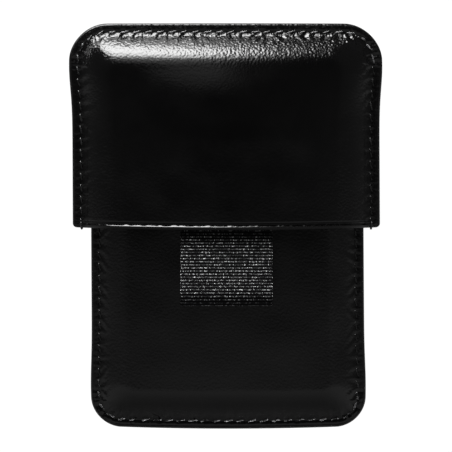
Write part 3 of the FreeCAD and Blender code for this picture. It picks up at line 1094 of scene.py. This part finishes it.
def curve(tree, value, stops):
    """Number read off a smooth curve through stops, each given as (place, level)."""
    spread = tree.nodes.new("ShaderNodeMapRange")
    spread.inputs["From Min"].default_value = stops[0][0]
    spread.inputs["From Max"].default_value = stops[-1][0]
    tree.links.new(value, spread.inputs["Value"])
    ramp = tree.nodes.new("ShaderNodeValToRGB")
    tree.links.new(spread.outputs["Result"], ramp.inputs[0])
    elements = ramp.color_ramp.elements
    while len(elements) < len(stops):
        elements.new(0.5)
    for element, (place, level) in zip(elements, stops):
        element.position = (place - stops[0][0]) / (stops[-1][0] - stops[0][0])
        element.color = (level, level, level, 1)
    return ramp.outputs["Color"]


def product(tree, first, second):
    """Product of an output and another output or a number."""
    node = tree.nodes.new("ShaderNodeMath")
    node.operation = "MULTIPLY"
    tree.links.new(first, node.inputs[0])
    if isinstance(second, (int, float)):
        node.inputs[1].default_value = second
    else:
        tree.links.new(second, node.inputs[1])
    return node.outputs[0]


def glow_material(name, strength, curves):
    """Plain glow shaded by one curve for each axis given."""
    material = bpy.data.materials.new(name)
    material.use_nodes = True
    tree = material.node_tree
    tree.nodes.clear()
    output = tree.nodes.new("ShaderNodeOutputMaterial")
    glow = tree.nodes.new("ShaderNodeEmission")
    place = tree.nodes.new("ShaderNodeTexCoord")
    split = tree.nodes.new("ShaderNodeSeparateXYZ")
    tree.links.new(place.outputs["Object"], split.inputs[0])
    level = None
    for axis, stops in curves.items():
        factor = curve(tree, split.outputs[axis], stops)
        level = product(tree, factor, strength if level is None else level)
    tree.links.new(level, glow.inputs["Strength"])
    tree.links.new(glow.outputs[0], output.inputs["Surface"])
    return material


def flat_quad(name, corners, material):
    """Four-cornered surface with one material, for the floor and the lights."""
    mesh = bpy.data.meshes.new(name)
    mesh.from_pydata(corners, [], [(0, 1, 2, 3)])
    piece = bpy.data.objects.new(name, mesh)
    bpy.context.scene.collection.objects.link(piece)
    mesh.materials.append(material)
    return piece


def make_floor():
    """Pale floor that looks evenly lit and isn't mirrored in the leather."""
    material = bpy.data.materials.new("pale_floor")
    material.use_nodes = True
    shader = material.node_tree.nodes["Principled BSDF"]
    shader.inputs["Base Color"].default_value = (0.06, 0.06, 0.06, 1)
    shader.inputs["Roughness"].default_value = 1.0
    shader.inputs["Specular IOR Level"].default_value = 0.0
    shader.inputs["Emission Color"].default_value = (1, 1, 1, 1)
    shader.inputs["Emission Strength"].default_value = 1.0
    size = 3.0
    floor = flat_quad(
        "floor", [(-size, -size, 0), (size, -size, 0), (size, size, 0), (-size, size, 0)], material,
    )
    floor.visible_glossy = False
    return floor


# Light levels across the softbox and up it, by place in metres. Then the studio's levels, from
# straight up (0) to the horizon beyond the pouch's closed end (1), and from its left (-1) to its right.
LIGHT_ACROSS = [
    (-0.215, 0.0), (-0.125, 1.0), (-0.013, 1.0), (-0.004, 0.50), (0.008, 0.42), (0.014, 0.06), (0.032, 0.045),
    (0.044, 0.0),
]
LIGHT_UP = [
    (0.0, 0.35), (0.04, 0.8), (0.09, 1.0), (0.15, 0.9), (0.22, 0.5), (0.30, 0.17), (0.40, 0.07), (0.55, 0.04),
    (0.80, 0.02), (1.10, 0.0),
]
FOOT_GLOW = [
    (0.0, 0.018), (0.008, 0.03), (0.03, 0.13), (0.055, 0.16), (0.08, 0.25), (0.12, 0.30), (0.4, 0.24),
    (0.9, 0.14),
]
SIDE_GLOW = [(-1.0, 0.06), (-0.4, 0.035), (0.0, 0.0), (0.4, 0.06), (1.0, 0.08)]
EVEN = [(-1.0, 1.0), (1.0, 1.0)]
# How strong each light is, and how far beyond the case's middle the softbox stands and its card starts.
SOFTBOX_STRENGTH = 21.0
SOFTBOX_PLACE = 0.30
CARD_STRENGTH = 2.4
CARD_START = 0.065
FILL_STRENGTH = 28.0
# Half the fill strip's width, its height, and its distance from the pouch's closed end.
FILL_SIZE = (0.036, 0.0045, 0.020)
# Distance of the camera, and the picture's width as a multiple of the case's length.
CAMERA_HEIGHT = 1.0
VIEW_MARGIN = 1.115


def make_softbox():
    """Upright softbox beyond the cap's end, with a dim reflector card lying in front of it."""
    near, far = CARD_START, SOFTBOX_PLACE
    left, right = LIGHT_ACROSS[0][0], LIGHT_ACROSS[-1][0]
    top = LIGHT_UP[-1][0]
    panel = flat_quad(
        "softbox", [(left, far, 0), (right, far, 0), (right, far, top), (left, far, top)],
        glow_material("softbox_glow", SOFTBOX_STRENGTH, {"X": LIGHT_ACROSS, "Z": LIGHT_UP}),
    )
    panel.visible_camera = False
    card = flat_quad(
        "reflector", [(left, near, 0.001), (right, near, 0.001), (right, far, 0.001), (left, far, 0.001)],
        glow_material("reflector_glow", CARD_STRENGTH, {"X": LIGHT_ACROSS}),
    )
    card.visible_camera = False


def make_foot_fill():
    """Low strip of soft light beyond the pouch's closed end, for the thread there."""
    half_width, height, away = FILL_SIZE
    low = SEAM * MM + 0.001
    place = CAD_BOUNDS[0][1] - away
    corners = [
        (-half_width, place, low), (half_width, place, low),
        (half_width, place, low + height), (-half_width, place, low + height),
    ]
    strip = flat_quad("foot_fill", corners, glow_material("foot_fill_glow", FILL_STRENGTH, {"X": EVEN}))
    strip.visible_camera = False
    strip.visible_glossy = False


def make_world():
    """Dim studio: darkest overhead, lighter towards the case's foot end."""
    world = bpy.data.worlds.new("studio")
    bpy.context.scene.world = world
    world.use_nodes = True
    tree = world.node_tree
    background = tree.nodes["Background"]
    place = tree.nodes.new("ShaderNodeTexCoord")
    split = tree.nodes.new("ShaderNodeSeparateXYZ")
    tree.links.new(place.outputs["Generated"], split.inputs[0])
    towards_foot = product(tree, split.outputs["Y"], -1.0)
    total = tree.nodes.new("ShaderNodeMath")
    tree.links.new(curve(tree, towards_foot, FOOT_GLOW), total.inputs[0])
    tree.links.new(curve(tree, split.outputs["X"], SIDE_GLOW), total.inputs[1])
    tree.links.new(total.outputs[0], background.inputs["Strength"])
    background.inputs["Color"].default_value = (1, 1, 1, 1)


def make_camera():
    """Camera straight above the case, with the cap's closed end at the top of the picture."""
    view_width = (CAD_BOUNDS[1][1] - CAD_BOUNDS[0][1]) * VIEW_MARGIN
    data = bpy.data.cameras.new("camera")
    data.sensor_width = 36.0
    data.lens = data.sensor_width * CAMERA_HEIGHT / view_width
    camera = bpy.data.objects.new("camera", data)
    camera.location = (-0.0001, 0.0, SEAM * MM + CAMERA_HEIGHT)
    bpy.context.scene.collection.objects.link(camera)
    bpy.context.scene.camera = camera


make_camera()
make_world()
make_floor()
make_softbox()
make_foot_fill()
make_case()
bpy.context.scene.view_settings.view_transform = "Standard"
bpy.context.scene.view_settings.look = "None"
